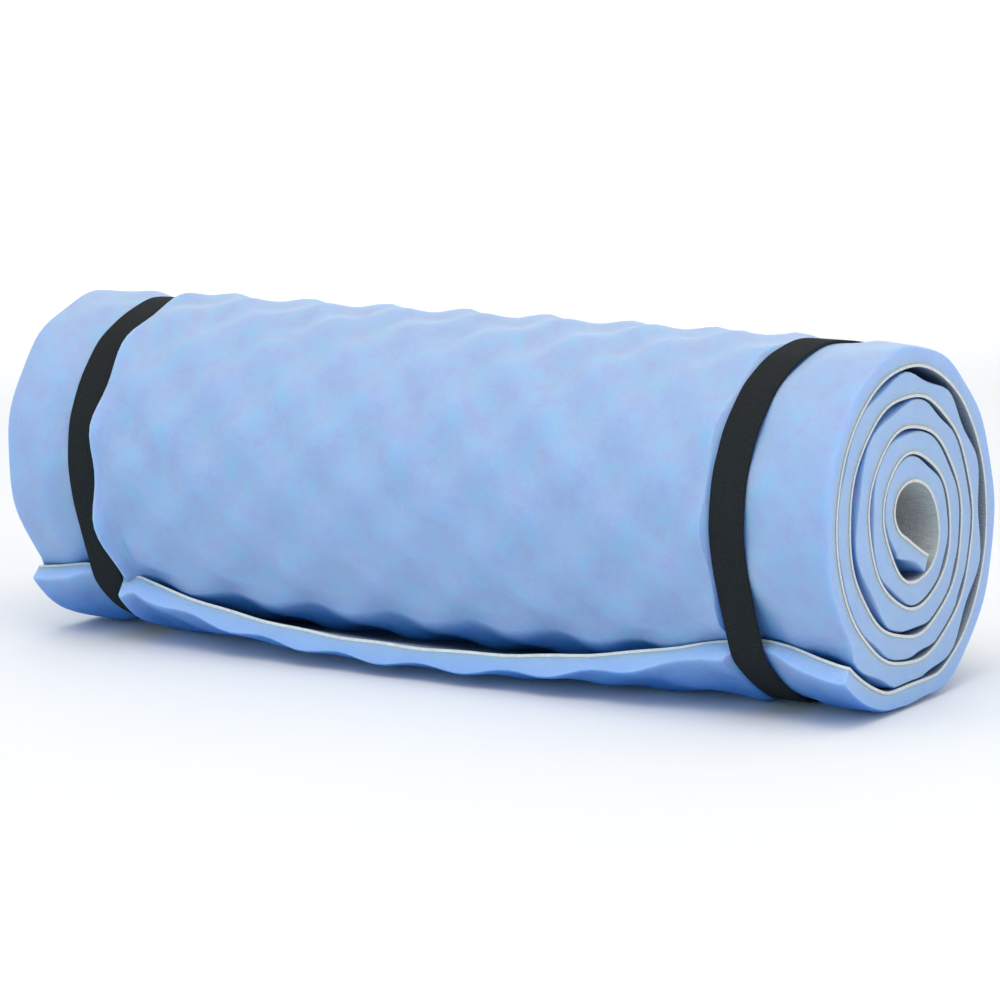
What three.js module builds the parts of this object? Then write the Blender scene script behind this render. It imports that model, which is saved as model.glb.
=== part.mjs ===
// A rolled-up foam sleeping pad held by two elastic straps.
// Millimetres. X runs along the roll, +Z is up, -Y is the front where the free end of the sheet shows.
// Every cross-section is drawn in the Y-Z plane as seen from the +X end, about the middle of the roll.
import * as THREE from "three";

// sheet
const ROLL_LENGTH = 500;
const LINING_THICKNESS = 1.0;
const LAYER_GAP = 0.3;
const FOAM_THICKNESS = 9.6;
const STACK = LINING_THICKNESS + LAYER_GAP + FOAM_THICKNESS;

// winding: distance of the lining's inner face from the middle of the roll, at the bottom, back, top and
// front of each turn, from the outermost turn inwards
const TURN_RADII = [
  [83.8, 80.5, 77.5, 74.8],
  [68.8, 64.7, 62.8, 62],
  [55.6, 52.7, 47.7, 42.2],
  [41.5, 40.5, 34.2, 26.5],
  [28.5, 28, 20.8, 13.8],
];
const FREE_END_ANGLE = 222;
const FREE_END_RADIUS = 86;
const FIRST_BOTTOM_ANGLE = 270;
const LAST_ANGLE = 2025;
const LAST_RADIUS = 11;
const OVAL = 3;
const ANGLE_STEP = 9;
const FLOOR_DEPTH = 80;

// the innermost end of the sheet lies straight across the hollow
const TONGUE_LENGTH = 27;
const TONGUE_STEPS = 3;
const TONGUE_ANGLE = -27;

// between the straps the free end of the sheet springs away from the roll
const FLAP_LENGTH = 62;
const FLAP_PEAK = -5;
const FLAP_OPENING = 0.81;
const FLAP_REACH = 176;
const FLAP_POWER = 2.2;
const FLAP_STATIONS = 6;

// straps
const STRAP_CENTRE = 198;
const STRAP_WIDTH = 20;
const STRAP_THICKNESS = 1.4;
const STRAP_CLEARANCE = 0.3;
const LAP_START = 30;
const LAP_ANGLE = 16;
const LAP_RAMP = 9;
const STRAP_STEP = 5;

// stitching that closes each strap
const THREAD_RADIUS = 0.35;
const THREAD_SIDES = 6;
const THREAD_CROSSINGS = 9;
const THREAD_STEPS_PER_CROSSING = 6;
const THREAD_EDGE = 2.5;

const radians = THREE.MathUtils.degToRad;

// -------------------------------------------------------------------------------- winding

const radiusTable = TURN_RADII.flat();

// smooth curve through the quarter-turn radii
function tableRadius(angle) {
  const position = (angle - FIRST_BOTTOM_ANGLE) / 90;
  const last = radiusTable.length - 1;
  if (position < 0) {
    const share = (angle - FREE_END_ANGLE) / (FIRST_BOTTOM_ANGLE - FREE_END_ANGLE);
    return THREE.MathUtils.lerp(FREE_END_RADIUS, radiusTable[0], share);
  }
  if (position > last) {
    const lastTableAngle = FIRST_BOTTOM_ANGLE + 90 * last;
    const share = (angle - lastTableAngle) / (LAST_ANGLE - lastTableAngle);
    return THREE.MathUtils.lerp(radiusTable[last], LAST_RADIUS, share);
  }
  const k = Math.min(Math.floor(position), last - 1);
  const t = position - k;
  const before = radiusTable[Math.max(k - 1, 0)];
  const start = radiusTable[k];
  const end = radiusTable[k + 1];
  const after = radiusTable[Math.min(k + 2, last)];
  const startSlope = (end - before) / 2;
  const endSlope = (after - start) / 2;
  const t2 = t * t;
  const t3 = t2 * t;
  return (
    (2 * t3 - 3 * t2 + 1) * start +
    (t3 - 2 * t2 + t) * startSlope +
    (3 * t2 - 2 * t3) * end +
    (t3 - t2) * endSlope
  );
}

// a point of the lining's inner face, the turns being slightly longer from lower back to upper front
function windingPoint(angle) {
  const turned = radians(angle);
  const radius = tableRadius(angle) - OVAL * Math.sin(2 * turned);
  return new THREE.Vector2(radius * Math.cos(turned), radius * Math.sin(turned));
}

// the whole run of the sheet from its free outer end to the end in the hollow
function windingPath() {
  const path = [];
  const steps = Math.round((LAST_ANGLE - FREE_END_ANGLE) / ANGLE_STEP);
  for (let i = 0; i <= steps; i += 1) {
    path.push(windingPoint(FREE_END_ANGLE + ((LAST_ANGLE - FREE_END_ANGLE) * i) / steps));
  }
  const start = path[path.length - 1];
  const heading = radians(TONGUE_ANGLE);
  const along = new THREE.Vector2(Math.cos(heading), Math.sin(heading));
  for (let i = 1; i <= TONGUE_STEPS; i += 1) {
    path.push(start.clone().addScaledVector(along, (TONGUE_LENGTH * i) / TONGUE_STEPS));
  }
  return path;
}

// how far the flap has sprung open at a place along the roll: 0 under the straps, 1 standing straight out
function flapOpening(x) {
  const share = Math.min(Math.abs(x - FLAP_PEAK) / FLAP_REACH, 1);
  return FLAP_OPENING * (1 - share ** FLAP_POWER);
}

// the path with its free end partly straightened
function openedPath(path, opening) {
  const lengths = [0];
  for (let k = 1; k < path.length; k += 1) {
    lengths.push(lengths[k - 1] + path[k].distanceTo(path[k - 1]));
  }
  const root = lengths.findIndex((length) => length > FLAP_LENGTH);
  const tangent = path[root - 1].clone().sub(path[root + 1]).normalize();
  return path.map((point, k) => {
    if (k >= root) return point.clone();
    const straight = path[root].clone().addScaledVector(tangent, lengths[root] - lengths[k]);
    return point.clone().lerp(straight, opening);
  });
}

// the path moved outwards by a distance, with the outermost turn resting flat
function offsetPath(path, distance) {
  const outerTurnStations = Math.round(360 / ANGLE_STEP);
  return path.map((point, k) => {
    const before = path[Math.max(k - 1, 0)];
    const after = path[Math.min(k + 1, path.length - 1)];
    const along = after.clone().sub(before).normalize();
    const moved = new THREE.Vector2(along.y, -along.x).multiplyScalar(distance).add(point);
    if (k < outerTurnStations) moved.y = Math.max(moved.y, -FLOOR_DEPTH - distance);
    return moved;
  });
}

// -------------------------------------------------------------------------------- sheet solids

function stationsAlongRoll() {
  const stations = [-ROLL_LENGTH / 2];
  for (let i = 0; i <= FLAP_STATIONS; i += 1) {
    stations.push(FLAP_PEAK - FLAP_REACH + (2 * FLAP_REACH * i) / FLAP_STATIONS);
  }
  stations.push(ROLL_LENGTH / 2);
  return stations;
}

// one closed layer of the sheet between two distances from the lining's inner face
function sheetLayer(near, far) {
  const path = windingPath();
  const count = path.length;
  const positions = [];
  const stations = stationsAlongRoll();
  for (const x of stations) {
    const opened = openedPath(path, flapOpening(x));
    for (const point of offsetPath(opened, near)) positions.push(x, point.x, point.y);
    for (const point of offsetPath(opened, far)) positions.push(x, point.x, point.y);
  }
  const index = [];
  const quad = (a, b, c, d) => index.push(a, b, c, a, c, d);
  const inner = (j, k) => j * 2 * count + k;
  const outer = (j, k) => inner(j, k) + count;
  const lastStation = stations.length - 1;
  for (let k = 0; k < count - 1; k += 1) {
    quad(inner(0, k), inner(0, k + 1), outer(0, k + 1), outer(0, k));
    quad(inner(lastStation, k), outer(lastStation, k), outer(lastStation, k + 1), inner(lastStation, k + 1));
  }
  for (let j = 0; j < lastStation; j += 1) {
    for (let k = 0; k < count - 1; k += 1) {
      quad(inner(j, k), inner(j + 1, k), inner(j + 1, k + 1), inner(j, k + 1));
      quad(outer(j, k), outer(j, k + 1), outer(j + 1, k + 1), outer(j + 1, k));
    }
    quad(inner(j, 0), outer(j, 0), outer(j + 1, 0), inner(j + 1, 0));
    quad(inner(j, count - 1), inner(j + 1, count - 1), outer(j + 1, count - 1), outer(j, count - 1));
  }
  const geometry = new THREE.BufferGeometry();
  geometry.setAttribute("position", new THREE.Float32BufferAttribute(positions, 3));
  geometry.setIndex(index);
  geometry.computeVertexNormals();
  return geometry;
}

function liningGeometry() {
  return sheetLayer(0, LINING_THICKNESS);
}

function foamGeometry() {
  return sheetLayer(LINING_THICKNESS + LAYER_GAP, STACK);
}

// -------------------------------------------------------------------------------- straps

// convex outline round the outermost turn where a strap grips it, anticlockwise
function grippedOutline() {
  const turns = Math.round(360 / ANGLE_STEP) + 2;
  const points = offsetPath(windingPath(), STACK).slice(0, turns);
  points.sort((a, b) => a.x - b.x || a.y - b.y);
  const chain = (ordered) => {
    const kept = [];
    for (const point of ordered) {
      while (kept.length > 1) {
        const edge = kept[kept.length - 1].clone().sub(kept[kept.length - 2]);
        const next = point.clone().sub(kept[kept.length - 1]);
        if (edge.cross(next) > 0) break;
        kept.pop();
      }
      kept.push(point);
    }
    return kept.slice(0, -1);
  };
  return [...chain(points), ...chain([...points].reverse())];
}

// the place where a direction from the middle of the roll meets a convex outline: its distance, and
// how squarely it meets the edge there (1 is square on)
function outlinePlace(outline, angle) {
  const ray = new THREE.Vector2(Math.cos(radians(angle)), Math.sin(radians(angle)));
  const place = { radius: 0, squareness: 1 };
  outline.forEach((from, i) => {
    const edge = outline[(i + 1) % outline.length].clone().sub(from);
    const across = ray.cross(edge);
    if (across <= 0) return;
    const share = from.cross(ray) / across;
    if (share < -1e-9 || share > 1 + 1e-9) return;
    place.radius = from.cross(edge) / across;
    place.squareness = across / edge.length();
  });
  return place;
}

// a strap is one strip that goes once round and laps over its own start
function strapLift(turned) {
  const lapLift = STRAP_THICKNESS + STRAP_CLEARANCE;
  return lapLift * THREE.MathUtils.smoothstep(turned, 360 - LAP_RAMP, 360);
}

function strapPoint(outline, turned, height) {
  const angle = LAP_START + turned;
  const place = outlinePlace(outline, angle);
  const radius = place.radius + (STRAP_CLEARANCE + strapLift(turned) + height) / place.squareness;
  return new THREE.Vector2(radius * Math.cos(radians(angle)), radius * Math.sin(radians(angle)));
}

// angles along the strip, including every corner of the outline and the start of the lap
function strapAngles(outline) {
  const angles = [];
  for (let turned = 0; turned < 360; turned += STRAP_STEP) angles.push(turned);
  for (let turned = 360 - LAP_RAMP; turned <= 360 + LAP_ANGLE; turned += 2) angles.push(turned);
  angles.push(360, 360 + LAP_ANGLE);
  for (const corner of outline) {
    const turned = (THREE.MathUtils.radToDeg(corner.angle()) - LAP_START + 360) % 360;
    angles.push(turned);
    if (turned < LAP_ANGLE) angles.push(turned + 360);
  }
  angles.sort((a, b) => a - b);
  return angles.filter((angle, i) => i === 0 || angle - angles[i - 1] > 0.2);
}

// cross-sections are drawn in Y-Z and pushed out along X
const SECTION_TO_ROLL = new THREE.Matrix4().set(0, 0, 1, 0, 1, 0, 0, 0, 0, 1, 0, 0, 0, 0, 0, 1);

function strapGeometry(outline, x) {
  const angles = strapAngles(outline);
  const insideFace = angles.map((turned) => strapPoint(outline, turned, 0));
  const outsideFace = angles.map((turned) => strapPoint(outline, turned, STRAP_THICKNESS)).reverse();
  const section = new THREE.Shape([...insideFace, ...outsideFace]);
  const geometry = new THREE.ExtrudeGeometry(section, { depth: STRAP_WIDTH, bevelEnabled: false });
  geometry.applyMatrix4(SECTION_TO_ROLL);
  geometry.translate(x - STRAP_WIDTH / 2, 0, 0);
  return geometry;
}

// zigzag thread lying on the lapped end
function stitchingGeometry(outline, x) {
  const height = STRAP_THICKNESS + STRAP_CLEARANCE + THREAD_RADIUS;
  const swing = STRAP_WIDTH / 2 - THREAD_EDGE;
  const count = THREAD_CROSSINGS * THREAD_STEPS_PER_CROSSING;
  const points = [];
  for (let i = 0; i <= count; i += 1) {
    const share = i / count;
    const turned = 360 + LAP_ANGLE * (0.12 + 0.76 * share);
    const point = strapPoint(outline, turned, height);
    const across = swing * Math.cos(Math.PI * THREAD_CROSSINGS * share);
    points.push(new THREE.Vector3(x + across, point.x, point.y));
  }
  const section = new THREE.Shape();
  section.absarc(0, 0, THREAD_RADIUS, 0, 2 * Math.PI);
  return new THREE.ExtrudeGeometry(section, {
    steps: count,
    curveSegments: THREAD_SIDES,
    bevelEnabled: false,
    extrudePath: new THREE.CatmullRomCurve3(points, false, "centripetal"),
  });
}

// -------------------------------------------------------------------------------- assembly

function foamMaterial() {
  return new THREE.MeshStandardMaterial({ color: 0x8db8e4, roughness: 0.85, metalness: 0 });
}

function liningMaterial() {
  return new THREE.MeshStandardMaterial({ color: 0xc4cbcf, roughness: 0.8, metalness: 0 });
}

function webbingMaterial() {
  return new THREE.MeshStandardMaterial({ color: 0x26292c, roughness: 0.9, metalness: 0 });
}

function threadMaterial() {
  return new THREE.MeshStandardMaterial({ color: 0x1a1c1e, roughness: 0.7, metalness: 0 });
}

function named(name, geometry, material) {
  const mesh = new THREE.Mesh(geometry, material);
  mesh.name = name;
  return mesh;
}

function sleepingPad() {
  const outline = grippedOutline();
  const pad = new THREE.Group();
  pad.name = "foam_sleeping_pad";
  pad.add(named("foam_sheet", foamGeometry(), foamMaterial()));
  pad.add(named("backing_layer", liningGeometry(), liningMaterial()));
  for (const [side, x] of [["left", -STRAP_CENTRE], ["right", STRAP_CENTRE]]) {
    pad.add(named(`${side}_strap`, strapGeometry(outline, x), webbingMaterial()));
    pad.add(named(`${side}_strap_stitching`, stitchingGeometry(outline, x), threadMaterial()));
  }
  const box = new THREE.Box3().setFromObject(pad);
  const middle = box.getCenter(new THREE.Vector3());
  for (const mesh of pad.children) mesh.geometry.translate(-middle.x, -middle.y, -box.min.z);
  return pad;
}

export default sleepingPad();
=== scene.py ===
import math

import bpy
import numpy as np
from mathutils import Matrix, Vector


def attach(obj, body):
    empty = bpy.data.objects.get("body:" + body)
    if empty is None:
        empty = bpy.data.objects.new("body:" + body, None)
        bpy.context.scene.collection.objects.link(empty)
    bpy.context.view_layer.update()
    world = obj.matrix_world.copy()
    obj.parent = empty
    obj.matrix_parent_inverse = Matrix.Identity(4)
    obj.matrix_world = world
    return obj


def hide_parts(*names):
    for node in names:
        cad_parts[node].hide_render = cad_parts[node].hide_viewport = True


# A rolled-up egg-crate foam sleeping pad held by two elastic straps.
# Shapes are worked out in millimetres, in the plane across the roll (Y, Z) about the roll's middle, and
# along it (X). They are moved to the shared frame and turned into metres when a mesh is made. Angles are
# in degrees round the roll, 0 at the back, 90 at the top and 180 at the front, and grow from the free end.

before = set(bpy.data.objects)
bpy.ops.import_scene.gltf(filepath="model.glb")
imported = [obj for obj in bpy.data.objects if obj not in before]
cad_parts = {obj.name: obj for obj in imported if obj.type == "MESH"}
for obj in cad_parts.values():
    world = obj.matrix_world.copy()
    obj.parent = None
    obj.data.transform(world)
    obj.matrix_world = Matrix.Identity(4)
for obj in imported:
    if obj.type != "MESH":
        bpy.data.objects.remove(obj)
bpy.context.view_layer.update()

MM = 0.001
MIDDLE_Y = -2.86
MIDDLE_Z = 92.6
TURN = 360.0

# sheet
HALF_LENGTH = 250.0
LINING = 1.5
LINING_OVERHANG = 0.25
LINING_OVERLAP = 0.02
THICKNESS = 10.7

# between two turns the foam swells to fill the gap, less so where the winding is loose, and not at all
# over its last degrees in the hollow
COVERED_SWELL = 2.8
UNCOVERED_LAST = 20.0
LOOSE = 2.6
LOOSE_ANGLE = 750.0
LOOSE_SPREAD = 85.0
SQUEEZE_BLEND = 0.6
CLEAR = 0.15

# stations round the winding: a share of the radius apart, within limits
STEP_SHARE = 0.09
SHORTEST_STEP = 2.3
LONGEST_STEP = 5.4

# the outer corners are rounded, over TIP at the free end and over RIM at the roll's ends
TIP = 3.6
TIP_DROP = 1.0
TIP_STATIONS = np.array([0.0, 0.08, 0.3, 0.65])
RIM = 4.0
RIM_DROP = 1.2
RIM_STATIONS = np.array([0.0, 0.03, 0.12, 0.3, 0.6, 1.0])

# winding: radius of the lining's inner face at the bottom, back, top and front of each turn
TURN_RADII = (
    (83.8, 80.5, 77.5, 74.8),
    (68.8, 64.7, 62.8, 62.0),
    (55.6, 52.7, 47.7, 42.2),
    (41.5, 40.5, 34.2, 26.5),
    (28.5, 28.0, 20.8, 13.8),
)
FREE_END_ANGLE = 222.0
FREE_END_RADIUS = 86.0
FIRST_BOTTOM_ANGLE = 270.0
LAST_ANGLE = 2025.0
LAST_RADIUS = 11.0
OVAL = 3.0
TONGUE_LENGTH = 27.0
TONGUE_ANGLE = -27.0
TONGUE_BEND_POINTS = 90
TONGUE_BEND_PASSES = 60

# degrees from the free end: where the sheet can rest on the floor, is grooved and can touch a strap
FLOOR_SPAN = 340.0
GROOVE_SPAN = 372.0
GRIP_SPAN = 385.0

# floor under the outer turn
FLOOR_DEPTH = 80.0
FLOOR_BLEND = 0.8
FOAM_FLOOR_GAP = 0.4
FOAM_FLOOR_BLEND = 0.5

# free end standing open between the straps, pinched shut by each and flaring past the right one
FLAP_LENGTH = 62.0
FLAP_PEAK = -5.0
FLAP_REACH = 176.0
FLAP_POWER = 2.2
FLAP_OPENING = 0.81
FLAP_PINCH = 0.18
FLAP_PINCHES = ((202.0, 20.0), (-214.0, 23.0))
FLAP_FLARE = 0.2
FLAP_FLARE_START = 215.0
FLAP_FLARE_LENGTH = 40.0
FLAP_BUMPS = 0.55

# between the straps the wrap above the free end hangs slack
SLACK = 3.5
SLACK_ANGLE = 592.0
SLACK_SPREAD = 27.0
SLACK_REACH = 190.0
SLACK_FADE = 45.0

# egg-crate face
CREST = 3.4
PITCH_ALONG = 50.0
PHASE_ALONG = 30.0
PITCH_ROUND = 47.0
BUMP_WANDER = 3.0
BUMP_VARIATION = 0.18
SWAY = 0.6
WORN_RIGHT = {"share": 0.75, "start": 205.0, "length": 30.0}
WORN_LEFT = {"share": 0.6, "start": 212.0, "length": 20.0}

# straps
STRAP_WIDTH = 19.4
STRAP_THICKNESS = 1.4
STRAP_WAVE = 0.45
STRAP_INSET = 0.6
STRAP_STEP = 2.5
STRAP_SAMPLES = 7
STRAP_SMOOTHING = 3
STRAP_CLEAR = 0.05
STRAP_FLOOR_GAP = 0.1
LEAN_HOLD = 16.0
LEAN_FADE = 30.0
SLANT_ANGLE = 72.0
SLANT_SPREAD = 24.0
LEFT = {
    "x": -202.0, "inward": 1, "lean": 3.6, "slant": 0.0,
    "sink": 6.0, "swell": 5.2, "tip_swell": 5.5, "inner": 2.4, "outer": 19.0,
}
RIGHT = {
    "x": 194.5, "inward": -1, "lean": 3.8, "slant": 7.5,
    "sink": 2.6, "swell": 0.9, "tip_swell": 0.0, "inner": 4.0, "outer": 14.0,
}
STRAPS = (LEFT, RIGHT)

# the groove under a strap is deepest at the front, and the foam swells beside it there and by the free end
TOP_SINK = 0.5
FRONT_ANGLE = 193.0
BANK_START = 0.3
SWELL_BACK = 0.3
SWELL_UNEVEN = 0.3
SWELL_WAVES = 11.0
SWELL_PLACE = 3.6
SWELL_SPREAD = 3.8
TIP_SWELL_ANGLE = 208.0
TIP_SWELL_SPREAD = 13.0

# lapped end of each strap and its seam
LAP_START = 30.0
LAP_LENGTH = 25.0
LAP_RAMP = 14.0
LAP_CLEAR = 0.06
THREAD = 0.32
STITCHES = 15
STITCH_POINTS = 12
THREAD_SIDES = 6
STITCH_DIP = 0.22
STITCH_LIFT = 0.12
SEAM_MARGIN = 3.0

# spacing of the stations along the roll: in the open, by a strap, and on a strap's steep bank
FOAM_STEPS = (6.2, 3.2, 0.9)
LINING_STEPS = (10.0, 5.0, 3.0)
NEAR_INNER = 12.0
NEAR_OUTER = 3.0
EDGE_BEFORE = 2.5
EDGE_AFTER = 1.5
EDGE_STEP_SHARE = 1.5
LAST_MARGIN = 1.0

# edges sharper than this many degrees are shaded as edges
SHARP_ANGLE = 40.0

# materials, in metres: how far the painted shade looks for folds and gaps, and the spacing of the webbing's
# ribs and picks
SHADE_REACH = 0.04
GAP_SHADE_REACH = 0.012
RIB_PITCH = 0.00105
PICK_PITCH = 0.0009

# camera: direction from the roll and tilt in degrees, distance and aim in metres, lens in millimetres
AZIMUTH = 33.21
ELEVATION = 9.93
ROLL = -0.94
DISTANCE = 2.240
LENS = 154.57
TARGET = Vector((0.00746, 0.0, 0.08413))

# backdrop and lamps, in metres
FLOOR_FRONT = 25.0
FLOOR_SIDE = 25.0
WALL_BACK = 3.5
WALL_BEND = 1.5
WALL_TOP = 9.0
LAMP_AIM = Vector((0, 0, 0.09))
WALL_LAMP_SIZE = 2.0
WALL_LAMP_POWER = 110.0
WALL_LAMP_BACK = 2.2
WALL_LAMP_HEIGHT = 2.6
WALL_LAMP_ASIDE = 1.6
WALL_LAMP_TILT = Vector((0, 0, 0.5))


# ------------------------------------------------------------------------------------ winding

def winding_radius(angles):
    """Smooth curve through the radii of the turns."""
    table = np.array([r for turn in TURN_RADII for r in turn])
    knots = FIRST_BOTTOM_ANGLE + 90.0 * np.arange(len(table))
    knots = np.concatenate([[FREE_END_ANGLE], knots, [LAST_ANGLE]])
    values = np.concatenate([[FREE_END_RADIUS], table, [LAST_RADIUS]])
    slopes = np.gradient(values, knots)
    k = np.clip(np.searchsorted(knots, angles, side="right") - 1, 0, len(knots) - 2)
    width = knots[k + 1] - knots[k]
    t = (angles - knots[k]) / width
    a = (2 * t**3 - 3 * t**2 + 1) * values[k]
    b = (t**3 - 2 * t**2 + t) * width * slopes[k]
    c = (3 * t**2 - 2 * t**3) * values[k + 1]
    d = (t**3 - t**2) * width * slopes[k + 1]
    return a + b + c + d


def side_of(line):
    """Unit vectors square to a line and pointing away from the middle of the roll."""
    along = np.gradient(line, axis=0)
    along /= np.linalg.norm(along, axis=-1, keepdims=True)
    return np.stack([along[..., 1], -along[..., 0]], -1)


def path_length(line):
    """Distance along a line from its first point to each of its points."""
    return np.concatenate([[0.0], np.cumsum(np.linalg.norm(np.diff(line, axis=0), axis=1))])


def winding():
    """The lining's inner face from the free end into the hollow, closer spaced where it curls tight."""
    angles = np.arange(FREE_END_ANGLE, LAST_ANGLE + 0.5, 1.0)
    turned = np.radians(angles)
    radius = winding_radius(angles) - OVAL * np.sin(2 * turned)
    line = np.stack([radius * np.cos(turned), radius * np.sin(turned)], -1)
    heading = math.radians(TONGUE_ANGLE)
    steps = np.arange(1.0, TONGUE_LENGTH + 0.5, 1.0)
    tongue = line[-1] + steps[:, None] * np.array([math.cos(heading), math.sin(heading)])
    line = np.concatenate([line, tongue])
    angles = np.concatenate([angles, LAST_ANGLE + steps])
    first = len(line) - TONGUE_BEND_POINTS
    for _ in range(TONGUE_BEND_PASSES):
        line[first:-1] = 0.5 * line[first:-1] + 0.25 * (line[first - 1:-2] + line[first + 1:])
    arc = path_length(line + side_of(line) * THICKNESS / 2)
    step = np.clip(STEP_SHARE * np.linalg.norm(line, axis=1), SHORTEST_STEP, LONGEST_STEP)
    count = np.concatenate([[0.0], np.cumsum(np.diff(arc) / step[1:])])
    at = np.interp(np.linspace(0.0, count[-1], int(count[-1]) + 1), count, arc)
    at = np.concatenate([TIP * TIP_STATIONS, at[1:]])
    resampled = np.stack([np.interp(at, arc, line[:, i]) for i in range(2)], -1)
    return resampled, at, np.interp(at, arc, angles)


# ------------------------------------------------------------------------------------ relief

def wander(a, b, seed):
    """A slow, smooth, repeatable unevenness between about -1 and 1."""
    return (
        np.sin(a / 83.0 + 1.7 * seed) * np.cos(b / 71.0 - 0.6 * seed)
        + 0.6 * np.sin(a / 37.0 - b / 53.0 + 2.3 * seed)
        + 0.4 * np.cos(a / 29.0 + b / 31.0 + 0.9 * seed)
    ) / 2.0


def bumps(arc, x):
    """The egg-crate pattern, from -1 in its dimples to 1 on its crests."""
    x = x + BUMP_WANDER * wander(x, arc, 1.0)
    arc = arc + BUMP_WANDER * wander(x, arc, 2.0)
    height = np.cos(2 * np.pi * (x - PHASE_ALONG) / PITCH_ALONG) * np.cos(2 * np.pi * arc / PITCH_ROUND)
    return height * (1.0 + BUMP_VARIATION * wander(x, arc, 3.0))


def soft_min(a, b, width):
    return 0.5 * (a + b - np.sqrt((a - b) ** 2 + width**2))


def soft_max(a, b, width):
    return 0.5 * (a + b + np.sqrt((a - b) ** 2 + width**2))


def ease(t):
    """A smooth step from 0 to 1."""
    t = np.clip(t, 0.0, 1.0)
    return t * t * (3.0 - 2.0 * t)


def bell(x, middle, spread):
    """1 at the middle, falling smoothly to 0 about two spreads away."""
    return np.exp(-(((x - middle) / spread) ** 2))


def rounding(distance, reach, drop):
    """How far a rounded corner lies below the face, at a distance from its cut edge."""
    share = np.clip(reach - distance, 0.0, reach) / reach
    return drop * (1.0 - np.sqrt(np.clip(1.0 - share**2, 0.0, 1.0)))


def flap_opening(x):
    """How far the free end stands open along the roll: 0 pressed down, 1 straight out."""
    share = np.clip(np.abs(x - FLAP_PEAK) / FLAP_REACH, 0.0, 1.0)
    free = FLAP_OPENING * (1.0 - share**FLAP_POWER)
    pinched = sum(bell(x, place, spread) for place, spread in FLAP_PINCHES)
    return free - FLAP_PINCH * pinched + FLAP_FLARE * ease((x - FLAP_FLARE_START) / FLAP_FLARE_LENGTH)


def lean(strap, angle):
    """How far a strap strays along +X round the roll: none at the front, most at the top and underneath."""
    turned = np.remainder(angle, TURN)
    slant = strap["slant"] * bell(turned, SLANT_ANGLE, SLANT_SPREAD)
    return strap["lean"] * np.cos(np.radians(turned - 90.0)) ** 2 + slant


def leaned(x, angle):
    """Places along the roll for every station and angle, the stations by a strap leaning with it."""
    place = x[None, :] + np.zeros((len(angle), 1))
    for strap in STRAPS:
        hold = 1.0 - ease((np.abs(x - strap["x"]) - LEAN_HOLD) / LEAN_FADE)
        place = place + hold[None, :] * lean(strap, angle)[:, None]
    return place


def beside(x, strap):
    """Distances from a strap's two edges: toward the roll's middle, and toward its near end."""
    offset = (x - strap["x"]) * strap["inward"]
    return offset - STRAP_WIDTH / 2, -offset - STRAP_WIDTH / 2


def pressed(thick, x, angle, strap, height):
    """The sheet's thickness with a strap pulled into it: deepest at the front, its inboard bank steep."""
    toward_middle, toward_end = beside(x, strap)
    inner = ease((toward_middle - BANK_START) / strap["inner"])
    outer = ease((toward_end - BANK_START) / strap["outer"])
    grip = 1.0 - np.maximum(inner, outer)
    front = np.clip(np.cos(np.radians(angle - FRONT_ANGLE)), 0.0, 1.0) ** 2
    uneven = 1.0 + SWELL_UNEVEN * np.cos(np.radians(angle) * SWELL_WAVES)
    by_tip = bell(np.remainder(angle, TURN), TIP_SWELL_ANGLE, TIP_SWELL_SPREAD)
    swell = strap["swell"] * uneven * (SWELL_BACK + (1.0 - SWELL_BACK) * front) + strap["tip_swell"] * by_tip
    swollen = thick + swell * bell(toward_middle, SWELL_PLACE, SWELL_SPREAD)
    sink = strap["sink"] * (TOP_SINK + (1.0 - TOP_SINK) * front)
    gripped = THICKNESS - sink + STRAP_WAVE * CREST * height
    return swollen * (1.0 - grip) + np.minimum(gripped, thick) * grip


def shaped_face(line, angle, place):
    """The inner face at every station: open at the free end, flat on the floor, slack above the free end."""
    face = np.repeat(line[:, None, :], place.shape[1], axis=1)
    length = path_length(line)
    root = int(np.argmax(length > FLAP_LENGTH))
    tangent = line[root - 1] - line[root + 1]
    tangent /= np.linalg.norm(tangent)
    straight = line[root] + (length[root] - length[:root, None]) * tangent
    opening = flap_opening(place[:root])[..., None]
    face[:root] = face[:root] * (1.0 - opening) + straight[:, None, :] * opening

    floored = angle < FREE_END_ANGLE + FLOOR_SPAN
    face[floored, :, 1] = soft_max(face[floored, :, 1], -FLOOR_DEPTH, FLOOR_BLEND)
    hang = bell(angle, SLACK_ANGLE, SLACK_SPREAD)[:, None]
    hang = hang * (1.0 - ease((np.abs(place) - SLACK_REACH + SLACK_FADE) / SLACK_FADE))
    return face + side_of(face) * (SLACK * hang)[..., None], root


def bump_height(arc, angle, place, root):
    """The bumps at every station, worn at the ends of the outer turn and flatter on the open free end."""
    height = bumps(np.repeat(arc[:, None], place.shape[1], axis=1), place)
    worn = WORN_RIGHT["share"] * ease((place - WORN_RIGHT["start"]) / WORN_RIGHT["length"])
    worn = worn + WORN_LEFT["share"] * ease((-place - WORN_LEFT["start"]) / WORN_LEFT["length"])
    height = height * (1.0 - worn * (angle < FREE_END_ANGLE + TURN)[:, None])
    height[:root] *= FLAP_BUMPS
    return height


def room_under(face, out, angle):
    """How far each station can grow before it meets the turn that lies over it."""
    index = np.interp(angle - TURN, angle, np.arange(len(angle)))
    below = np.floor(index).astype(int)
    above = np.minimum(below + 1, len(angle) - 1)
    share = (index - below)[:, None, None]
    over = face[below] * (1.0 - share) + face[above] * share
    return ((over - face) * out).sum(-1) - CLEAR


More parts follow.
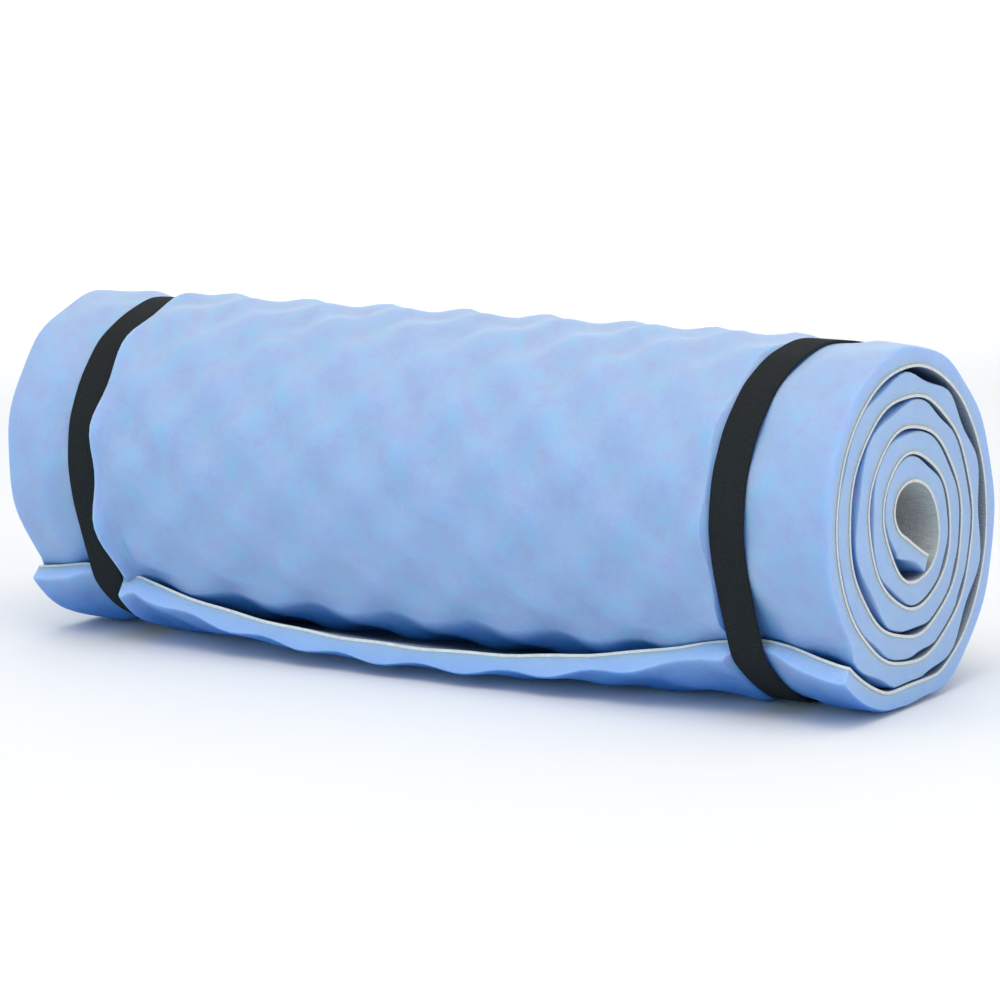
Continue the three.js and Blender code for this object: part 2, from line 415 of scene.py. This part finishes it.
def foam_thickness(x, face, out, arc, angle, place, height):
    """Thickness of sheet at every station: bumps outside, squeezed between turns, pressed by the straps."""
    free = THICKNESS + CREST * height
    covered = (angle > FREE_END_ANGLE + TURN) & (angle < LAST_ANGLE - UNCOVERED_LAST)
    loose = LOOSE * np.exp(-(((angle - LOOSE_ANGLE) / LOOSE_SPREAD) ** 4))[:, None]
    filling = THICKNESS + COVERED_SWELL - loose + CREST * height
    squeezed = soft_min(filling, room_under(face, out, angle), SQUEEZE_BLEND)
    thick = np.where(covered[:, None], squeezed, free)
    grooved = (angle < FREE_END_ANGLE + GROOVE_SPAN)[:, None]
    for strap in STRAPS:
        thick = np.where(grooved, pressed(thick, x[None, :], angle[:, None], strap, height), thick)
    thick = thick - rounding(HALF_LENGTH - np.abs(place), RIM, RIM_DROP)
    return thick - rounding(arc, TIP, TIP_DROP)[:, None]


def sheet_surfaces(x):
    """Inner face, outward direction and thickness of the sheet at every arc station and every x."""
    line, arc, angle = winding()
    place = leaned(x, angle)
    face, root = shaped_face(line, angle, place)
    height = bump_height(arc, angle, place, root)
    face = face - side_of(face) * (SWAY * height)[..., None]
    out = side_of(face)
    thick = foam_thickness(x, face, out, arc, angle, place, height)
    return face, out, thick, arc, angle, place


def to_frame(points, x):
    """Cross-section points and distances along the roll, in millimetres, to metres in the shared frame."""
    y = points[..., 0] + MIDDLE_Y
    z = points[..., 1] + MIDDLE_Z
    return np.stack([np.broadcast_to(x, y.shape), y, z], -1) * MM


# ------------------------------------------------------------------------------------ meshes

def add_piece(name, vertices, faces, materials, face_material=None, uv=None):
    mesh = bpy.data.meshes.new(name)
    mesh.from_pydata(vertices.tolist(), [], faces.tolist())
    for material in materials:
        mesh.materials.append(material)
    if face_material is not None:
        mesh.polygons.foreach_set("material_index", face_material.astype(np.int32))
    mesh.polygons.foreach_set("use_smooth", np.ones(len(mesh.polygons), dtype=bool))
    if uv is not None:
        layer = mesh.uv_layers.new(name="UVMap")
        corner = np.zeros(len(mesh.loops), dtype=np.int32)
        mesh.loops.foreach_get("vertex_index", corner)
        layer.data.foreach_set("uv", uv[corner].astype(np.float32).ravel())
    mesh.update()
    mesh.set_sharp_from_angle(angle=math.radians(SHARP_ANGLE))
    piece = bpy.data.objects.new(name, mesh)
    bpy.context.scene.collection.objects.link(piece)
    return piece


def slab(inner, outer, arc, place):
    """A closed slab between two grids of points, with its cut edges marked 1."""
    rows, columns = inner.shape[:2]
    vertices = np.concatenate([inner.reshape(-1, 3), outer.reshape(-1, 3)])
    i = np.arange(rows * columns).reshape(rows, columns)
    o = i + rows * columns

    def quads(a, b, c, d):
        return np.stack([a.ravel(), b.ravel(), c.ravel(), d.ravel()], -1)

    skins = [
        quads(i[:-1, :-1], i[:-1, 1:], i[1:, 1:], i[1:, :-1]),
        quads(o[:-1, :-1], o[1:, :-1], o[1:, 1:], o[:-1, 1:]),
    ]
    cuts = [
        quads(i[:-1, 0], i[1:, 0], o[1:, 0], o[:-1, 0]),
        quads(i[:-1, -1], o[:-1, -1], o[1:, -1], i[1:, -1]),
        quads(i[0, :-1], o[0, :-1], o[0, 1:], i[0, 1:]),
        quads(i[-1, :-1], i[-1, 1:], o[-1, 1:], o[-1, :-1]),
    ]
    faces = np.concatenate(skins + cuts)
    mark = np.zeros(len(faces))
    mark[sum(len(s) for s in skins):] = 1
    flat = np.stack(np.broadcast_arrays(place, arc[:, None]), -1).reshape(-1, 2) * MM
    return vertices, faces, mark, np.concatenate([flat, flat])


def along_roll(step, strap_step, bank_step):
    """Stations along the roll, closer together under the straps, on their banks and at the ends."""
    rim = RIM * RIM_STATIONS
    stations = [-HALF_LENGTH + RIM + step]
    while stations[-1] < HALF_LENGTH - RIM - LAST_MARGIN:
        x = stations[-1]
        move = step
        for strap in STRAPS:
            toward_middle, toward_end = beside(x, strap)
            if toward_middle < NEAR_INNER and toward_end < strap["outer"] + NEAR_OUTER:
                move = strap_step
            if -EDGE_BEFORE < toward_middle < strap["inner"] + EDGE_AFTER:
                move = bank_step
            if -EDGE_BEFORE < toward_end < EDGE_AFTER:
                move = min(move, EDGE_STEP_SHARE * bank_step)
        stations.append(x + move)
    return np.concatenate([rim - HALF_LENGTH, stations[:-1], HALF_LENGTH - rim[::-1]])


def foam_piece(materials):
    face, out, thick, arc, _, place = sheet_surfaces(along_roll(*FOAM_STEPS))
    inner = face + out * LINING
    outer = face + out * thick[..., None]
    outer[..., 1] = soft_max(outer[..., 1], FOAM_FLOOR_GAP - MIDDLE_Z, FOAM_FLOOR_BLEND)
    vertices, faces, mark, uv = slab(to_frame(inner, place), to_frame(outer, place), arc, place)
    piece = add_piece("foam_sheet_soft", vertices, faces, materials, mark, uv)
    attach(piece, "pad")
    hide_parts("foam_sheet")


def lining_piece(materials):
    x = along_roll(*LINING_STEPS)
    x[0] -= LINING_OVERHANG
    x[-1] += LINING_OVERHANG
    face, out, _, arc, _, place = sheet_surfaces(x)
    outer = face + out * (LINING + LINING_OVERLAP)
    vertices, faces, mark, uv = slab(to_frame(face, place), to_frame(outer, place), arc, place)
    piece = add_piece("lining_film", vertices, faces, materials, mark, uv)
    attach(piece, "pad")
    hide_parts("backing_layer")


# ------------------------------------------------------------------------------------ straps

def convex_outline(points):
    """The convex outline of points in a plane, anticlockwise."""
    ordered = sorted(map(tuple, points))

    def chain(run):
        kept = []
        for p in run:
            while len(kept) > 1:
                a, b = kept[-2], kept[-1]
                if (b[0] - a[0]) * (p[1] - b[1]) - (b[1] - a[1]) * (p[0] - b[0]) > 0:
                    break
                kept.pop()
            kept.append(p)
        return kept[:-1]

    return np.array(chain(ordered) + chain(ordered[::-1]))


def strap_line(strap):
    """The strip's inner face from its start, once round the roll and over the lap: points and directions."""
    reach = STRAP_WIDTH / 2 - STRAP_INSET
    face, out, thick, _, angle, _ = sheet_surfaces(strap["x"] + np.linspace(-reach, reach, STRAP_SAMPLES))
    gripped = face + out * thick[..., None]
    gripped = gripped[angle < FREE_END_ANGLE + GRIP_SPAN]
    gripped[..., 1] = np.maximum(gripped[..., 1], STRAP_THICKNESS + STRAP_FLOOR_GAP - MIDDLE_Z)
    outline = convex_outline(gripped.reshape(-1, 2))
    around = np.degrees(np.arctan2(outline[:, 1], outline[:, 0])) - LAP_START
    outline = np.roll(outline, -int(np.argmin(around % TURN)), axis=0)
    closed = np.concatenate([outline, outline[:1]])
    length = path_length(closed)
    girth = length[-1]
    at = np.linspace(0.0, girth + LAP_LENGTH, int(girth / STRAP_STEP))
    line = np.stack([np.interp(at % girth, length, closed[:, i]) for i in range(2)], -1)
    for _ in range(STRAP_SMOOTHING):
        line[1:-1] = 0.5 * line[1:-1] + 0.25 * (line[:-2] + line[2:])
    lift = STRAP_CLEAR + (STRAP_THICKNESS + LAP_CLEAR) * ease((at - girth + LAP_RAMP) / LAP_RAMP)
    out = side_of(line)
    return line + out * lift[:, None], out, at, girth


def strap_profile():
    """The webbing's cross-section, flat with rounded edges: across the strap and up from its inner face."""
    half = STRAP_WIDTH / 2
    top = STRAP_THICKNESS
    flat = half - 0.55
    shoulder = half - 0.15
    low = top * 0.18
    high = top * 0.82
    return np.array([
        (-half, top * 0.5), (-shoulder, low), (-flat, 0.0), (-half / 2, 0.0), (0.0, 0.0), (half / 2, 0.0),
        (flat, 0.0), (shoulder, low), (half, top * 0.5), (shoulder, high), (flat, top), (half / 2, top),
        (0.0, top), (-half / 2, top), (-flat, top), (-shoulder, high),
    ])


def swept(rings):
    """Faces of a tube through rings of points, closed at both ends."""
    count, sides = rings.shape[:2]
    i = np.arange(count * sides).reshape(count, sides)
    j = np.roll(i, -1, axis=1)
    walls = np.stack([i[:-1], i[1:], j[1:], j[:-1]], -1).reshape(-1, 4)
    return np.array(walls.tolist() + [i[0].tolist(), i[-1][::-1].tolist()], dtype=object)


def strap_piece(side, strap, material):
    """One elastic strap. Gives back the line it runs along, for its seam."""
    line, out, at, girth = strap_line(strap)
    profile = strap_profile()
    section = line[:, None, :] + out[:, None, :] * profile[None, :, 1, None]
    x = strap["x"] + lean(strap, np.degrees(np.arctan2(line[:, 1], line[:, 0])))
    rings = to_frame(section, x[:, None] + profile[None, :, 0])
    uv = np.stack(np.broadcast_arrays(profile[None, :, 0], at[:, None]), -1).reshape(-1, 2) * MM
    piece = add_piece(f"{side}_elastic", rings.reshape(-1, 3), swept(rings), [material], uv=uv)
    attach(piece, f"{side}_loop")
    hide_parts(f"{side}_strap")
    return line, out, at, girth, x


def thread_piece(side, strap_run, material):
    """A zigzag seam through the lapped end."""
    line, out, at, girth, x = strap_run
    count = STITCHES * STITCH_POINTS
    along = np.linspace(girth + SEAM_MARGIN, girth + LAP_LENGTH - SEAM_MARGIN, count)
    share = np.linspace(0.0, float(STITCHES), count)
    across = (STRAP_WIDTH / 2 - SEAM_MARGIN) * (2.0 * np.abs((share % 2.0) - 1.0) - 1.0)
    dip = STITCH_DIP * np.cos(2 * np.pi * share * 3.0)
    centre = np.stack([np.interp(along, at, line[:, i]) for i in range(2)], -1)
    up = np.stack([np.interp(along, at, out[:, i]) for i in range(2)], -1)
    centre = centre + up * (STRAP_THICKNESS + STITCH_LIFT + dip)[:, None]
    path = to_frame(centre, np.interp(along, at, x) + across)
    up = np.concatenate([np.zeros((count, 1)), up], axis=1)
    forward = np.gradient(path, axis=0)
    forward /= np.linalg.norm(forward, axis=1, keepdims=True)
    sideways = np.cross(forward, up)
    sideways /= np.linalg.norm(sideways, axis=1, keepdims=True)
    turn = np.arange(THREAD_SIDES) * 2 * np.pi / THREAD_SIDES
    ring = np.cos(turn)[None, :, None] * sideways[:, None] + np.sin(turn)[None, :, None] * up[:, None]
    rings = path[:, None, :] + ring * THREAD * MM
    piece = add_piece(f"{side}_seam_thread", rings.reshape(-1, 3), swept(rings), [material])
    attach(piece, f"{side}_loop")
    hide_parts(f"{side}_strap_stitching")


# ------------------------------------------------------------------------------------ materials

def new_material(name, roughness):
    material = bpy.data.materials.new(name)
    material.use_nodes = True
    tree = material.node_tree
    shader = tree.nodes["Principled BSDF"]
    shader.inputs["Roughness"].default_value = roughness
    shader.inputs["Specular IOR Level"].default_value = 0.35
    return material, tree, shader


def node(tree, kind, **inputs):
    made = tree.nodes.new(kind)
    for name, value in inputs.items():
        made.inputs[name.replace("_", " ")].default_value = value
    return made


def noise(tree, where, scale, detail, roughness=0.5):
    made = node(tree, "ShaderNodeTexNoise", Scale=scale, Detail=detail, Roughness=roughness)
    tree.links.new(where, made.inputs["Vector"])
    return made.outputs["Fac"]


def ramp(tree, value, stops):
    """A colour for each value, blended between stops of a position and a colour."""
    made = tree.nodes.new("ShaderNodeValToRGB")
    elements = made.color_ramp.elements
    while len(elements) < len(stops):
        elements.new(0.5)
    for element, (position, colour) in zip(elements, stops):
        element.position = position
        element.color = (*colour, 1.0)
    tree.links.new(value, made.inputs["Fac"])
    return made.outputs["Color"]


def multiplied(tree, colour, tint):
    """One colour multiplied by another. Sockets 0, 6 and 7 are the mix node's share and its two colours."""
    made = tree.nodes.new("ShaderNodeMix")
    made.data_type = "RGBA"
    made.blend_type = "MULTIPLY"
    made.inputs[0].default_value = 1.0
    tree.links.new(colour, made.inputs[6])
    tree.links.new(tint, made.inputs[7])
    return made.outputs[2]


def maths(tree, operation, a, b=0.0):
    made = tree.nodes.new("ShaderNodeMath")
    made.operation = operation
    for socket, value in ((0, a), (1, b)):
        if isinstance(value, float):
            made.inputs[socket].default_value = value
        else:
            tree.links.new(value, made.inputs[socket])
    return made.outputs[0]


def bump(tree, shader, height, distance, strength):
    made = node(tree, "ShaderNodeBump", Distance=distance, Strength=strength)
    tree.links.new(height, made.inputs["Height"])
    tree.links.new(made.outputs["Normal"], shader.inputs["Normal"])


def object_coordinates(tree):
    return tree.nodes.new("ShaderNodeTexCoord").outputs["Object"]


def soften(shader):
    """Light passes a few millimetres into the foam, blue the furthest."""
    shader.inputs["Subsurface Weight"].default_value = 0.75
    shader.inputs["Subsurface Radius"].default_value = (0.2, 0.6, 1.5)
    shader.inputs["Subsurface Scale"].default_value = 0.007


def paint_shade_in_folds(tree, colour, deepest_shade, reach=SHADE_REACH):
    """Paints shade into a colour: darker and bluer in folds, gaps and near the floor, where little open
    space is round a point.
    """
    occlusion = node(tree, "ShaderNodeAmbientOcclusion", Distance=reach)
    occlusion.samples = 8
    painted_shade = ramp(tree, occlusion.outputs["AO"], [(0.1, deepest_shade), (0.88, (1.0, 1.0, 1.0))])
    return multiplied(tree, colour, painted_shade)


def foam_skin():
    """Moulded closed-cell skin: slightly blotchy blue, with a very fine dimpled grain."""
    material, tree, shader = new_material("foam_skin", 0.62)
    where = object_coordinates(tree)
    blotch = noise(tree, where, 95.0, 4.0)
    tints = [(0.32, (0.285, 0.370, 0.60)), (0.5, (0.285, 0.40, 0.62)), (0.68, (0.255, 0.425, 0.64))]
    colour = ramp(tree, blotch, tints)
    fine = noise(tree, where, 900.0, 2.0)
    speck = ramp(tree, fine, [(0.35, (0.93, 0.95, 0.98)), (0.65, (1.0, 1.0, 1.0))])
    # painted shade: the skin darkens to deep blue in folds, gaps and near the floor
    colour = paint_shade_in_folds(tree, multiplied(tree, colour, speck), (0.13, 0.47, 0.90))
    tree.links.new(colour, shader.inputs["Base Color"])
    grain = maths(tree, "ADD", fine, maths(tree, "MULTIPLY", noise(tree, where, 160.0, 2.0), 1.5))
    pulled = maths(tree, "MULTIPLY", noise(tree, where, 48.0, 1.0), 9.0)
    bump(tree, shader, maths(tree, "ADD", grain, pulled), 0.0002, 0.6)
    soften(shader)
    return material


def foam_cut():
    """Knife-cut foam with its open cells showing."""
    material, tree, shader = new_material("foam_cut", 0.8)
    where = object_coordinates(tree)
    cells = node(tree, "ShaderNodeTexVoronoi", Scale=1400.0)
    tree.links.new(where, cells.inputs["Vector"])
    shade = ramp(tree, cells.outputs["Distance"], [(0.0, (0.27, 0.41, 0.71)), (0.5, (0.31, 0.455, 0.75))])
    blotch = ramp(tree, noise(tree, where, 60.0, 2.0), [(0.3, (0.93, 0.95, 0.98)), (0.7, (1.0, 1.0, 1.0))])
    # painted shade: the cut faces turn a little darker and bluer in folds, gaps and near the floor
    colour = paint_shade_in_folds(tree, multiplied(tree, shade, blotch), (0.70, 0.90, 1.0))
    tree.links.new(colour, shader.inputs["Base Color"])
    bump(tree, shader, cells.outputs["Distance"], 0.0003, 0.6)
    soften(shader)
    return material


def lining_face():
    """Thin bonded film: grey, finely creased across the roll where it is rolled tight."""
    material, tree, shader = new_material("lining_face", 0.55)
    where = tree.nodes.new("ShaderNodeUVMap").outputs["UV"]
    stretch = node(tree, "ShaderNodeMapping", Scale=(120.0, 900.0, 1.0))
    tree.links.new(where, stretch.inputs["Vector"])
    crease = noise(tree, stretch.outputs["Vector"], 1.0, 3.0, 0.6)
    fine = noise(tree, object_coordinates(tree), 1200.0, 2.0)
    shade = ramp(tree, crease, [(0.3, (0.45, 0.50, 0.54)), (0.7, (0.62, 0.67, 0.71))])
    speck = ramp(tree, fine, [(0.3, (0.72, 0.73, 0.74)), (0.7, (1.0, 1.0, 1.0))])
    # painted shade: the film darkens to near black-blue in the narrow gaps between turns and in the hollow
    colour = paint_shade_in_folds(tree, multiplied(tree, shade, speck), (0.10, 0.20, 0.34), GAP_SHADE_REACH)
    tree.links.new(colour, shader.inputs["Base Color"])
    bump(tree, shader, maths(tree, "ADD", crease, maths(tree, "MULTIPLY", fine, 0.4)), 0.0004, 0.8)
    return material


def lining_edge():
    """The film's cut edge, pale and slightly frayed."""
    material, tree, shader = new_material("lining_edge", 0.7)
    fray = noise(tree, object_coordinates(tree), 500.0, 2.0)
    shade = ramp(tree, fray, [(0.3, (0.50, 0.535, 0.545)), (0.7, (0.62, 0.655, 0.665))])
    tree.links.new(shade, shader.inputs["Base Color"])
    return material


def webbing():
    """Woven elastic: fine ribs along the strap crossed by finer picks."""
    material, tree, shader = new_material("webbing", 0.85)
    split = tree.nodes.new("ShaderNodeSeparateXYZ")
    tree.links.new(tree.nodes.new("ShaderNodeUVMap").outputs["UV"], split.inputs["Vector"])
    rib = maths(tree, "SINE", maths(tree, "MULTIPLY", split.outputs["X"], 2 * math.pi / RIB_PITCH))
    pick = maths(tree, "SINE", maths(tree, "MULTIPLY", split.outputs["Y"], 2 * math.pi / PICK_PITCH))
    weave = maths(tree, "ADD", maths(tree, "MULTIPLY", rib, 0.6), maths(tree, "MULTIPLY", pick, 0.4))
    fuzz = noise(tree, object_coordinates(tree), 1500.0, 3.0, 0.6)
    height = maths(tree, "ADD", weave, maths(tree, "MULTIPLY", fuzz, 1.2))
    level = maths(tree, "ADD", maths(tree, "MULTIPLY", height, 0.25), 0.35)
    shade = ramp(tree, level, [(0.1, (0.001, 0.002, 0.003)), (0.8, (0.030, 0.036, 0.040))])
    tree.links.new(shade, shader.inputs["Base Color"])
    bump(tree, shader, height, 0.00028, 1.0)
    shader.inputs["Specular IOR Level"].default_value = 0.1
    return material


def seam_thread():
    """Dull black sewing thread."""
    material, tree, shader = new_material("seam_thread", 0.6)
    strands = noise(tree, object_coordinates(tree), 2500.0, 2.0)
    shade = ramp(tree, strands, [(0.3, (0.02, 0.021, 0.024)), (0.7, (0.06, 0.062, 0.066))])
    tree.links.new(shade, shader.inputs["Base Color"])
    return material


def backdrop_paint():
    """Matt, nearly white, with the faintest unevenness."""
    material, tree, shader = new_material("backdrop_paint", 0.9)
    patches = noise(tree, object_coordinates(tree), 3.0, 2.0)
    shade = ramp(tree, patches, [(0.3, (0.70, 0.745, 0.80)), (0.7, (0.72, 0.765, 0.82))])
    tree.links.new(shade, shader.inputs["Base Color"])
    return material


# ------------------------------------------------------------------------------------ stage

def backdrop():
    """A pale floor that curves up into a wall well behind the roll."""
    turn = np.linspace(0.0, math.pi / 2, 24)
    depth = np.concatenate([[-FLOOR_FRONT], WALL_BACK + WALL_BEND * np.sin(turn), [WALL_BACK + WALL_BEND]])
    height = np.concatenate([[0.0], WALL_BEND * (1.0 - np.cos(turn)), [WALL_TOP]])
    heading = math.radians(AZIMUTH)
    away = np.array([-math.sin(heading), math.cos(heading)])
    sideways = np.array([math.cos(heading), math.sin(heading)])
    vertices = []
    for d, h in zip(depth, height):
        for s in (-FLOOR_SIDE, FLOOR_SIDE):
            vertices.append((*(away * d + sideways * s), h))
    faces = np.array([(2 * k, 2 * k + 1, 2 * k + 3, 2 * k + 2) for k in range(len(depth) - 1)])
    floor = add_piece("backdrop", np.array(vertices), faces, [backdrop_paint()])


def camera():
    """A long lens from the right of the front and a little above."""
    azimuth, elevation, roll = (math.radians(v) for v in (AZIMUTH, ELEVATION, ROLL))
    back = Vector((
        math.sin(azimuth) * math.cos(elevation),
        -math.cos(azimuth) * math.cos(elevation),
        math.sin(elevation),
    ))
    right = Vector((0, 0, 1)).cross(back).normalized()
    up = back.cross(right)
    right, up = right * math.cos(roll) + up * math.sin(roll), up * math.cos(roll) - right * math.sin(roll)
    made = bpy.data.objects.new("camera", bpy.data.cameras.new("camera"))
    made.data.lens = LENS
    made.data.sensor_width = 36.0
    made.data.clip_start = 0.05
    made.data.clip_end = 100.0
    turned = Matrix((right, up, back)).transposed().to_4x4()
    made.matrix_world = Matrix.Translation(TARGET + back * DISTANCE) @ turned
    bpy.context.scene.collection.objects.link(made)
    bpy.context.scene.camera = made


def area_light(name, azimuth, elevation, distance, size, power, colour):
    """A square lamp aimed at the roll's middle from a direction about it."""
    a, e = math.radians(azimuth), math.radians(elevation)
    back = Vector((math.sin(a) * math.cos(e), -math.cos(a) * math.cos(e), math.sin(e)))
    lamp = bpy.data.lights.new(name, "AREA")
    lamp.size = size
    lamp.energy = power
    lamp.color = colour
    made = bpy.data.objects.new(name, lamp)
    made.location = LAMP_AIM + back * distance
    made.rotation_mode = "QUATERNION"
    made.rotation_quaternion = back.to_track_quat("Z", "Y")
    bpy.context.scene.collection.objects.link(made)


def wall_light(name, aside):
    """A lamp behind the roll that lights the wall and turns its back on the roll."""
    heading = math.radians(AZIMUTH)
    away = Vector((-math.sin(heading), math.cos(heading), 0.0))
    sideways = Vector((math.cos(heading), math.sin(heading), 0.0))
    lamp = bpy.data.lights.new(name, "AREA")
    lamp.size = WALL_LAMP_SIZE
    lamp.energy = WALL_LAMP_POWER
    made = bpy.data.objects.new(name, lamp)
    made.location = away * WALL_LAMP_BACK + sideways * aside + Vector((0, 0, WALL_LAMP_HEIGHT))
    made.rotation_mode = "QUATERNION"
    made.rotation_quaternion = (WALL_LAMP_TILT - away).to_track_quat("Z", "Y")
    bpy.context.scene.collection.objects.link(made)


def lights():
    """Soft light from above, a little from the right and a low blue one that lifts the shaded foam."""
    area_light("key", 20.0, 68.0, 2.6, 2.2, 39.0, (1.0, 0.90, 0.80))
    area_light("side", 80.0, 25.0, 2.8, 1.6, 11.0, (0.88, 0.95, 1.0))
    area_light("low", 5.0, 6.0, 2.6, 1.2, 20.0, (0.12, 0.64, 1.0))
    wall_light("wall_left", -WALL_LAMP_ASIDE)
    wall_light("wall_right", WALL_LAMP_ASIDE)
    world = bpy.data.worlds.new("world")
    world.use_nodes = True
    sky = world.node_tree.nodes["Background"]
    sky.inputs["Color"].default_value = (1.0, 0.93, 0.85, 1.0)
    sky.inputs["Strength"].default_value = 0.93
    bpy.context.scene.world = world
    bpy.context.scene.view_settings.view_transform = "Standard"


# ------------------------------------------------------------------------------------ assembly

foam_piece([foam_skin(), foam_cut()])
lining_piece([lining_face(), lining_edge()])
elastic = webbing()
thread = seam_thread()
for side_name, side_strap in (("left", LEFT), ("right", RIGHT)):
    run = strap_piece(side_name, side_strap, elastic)
    thread_piece(side_name, run, thread)
backdrop()
camera()
lights()
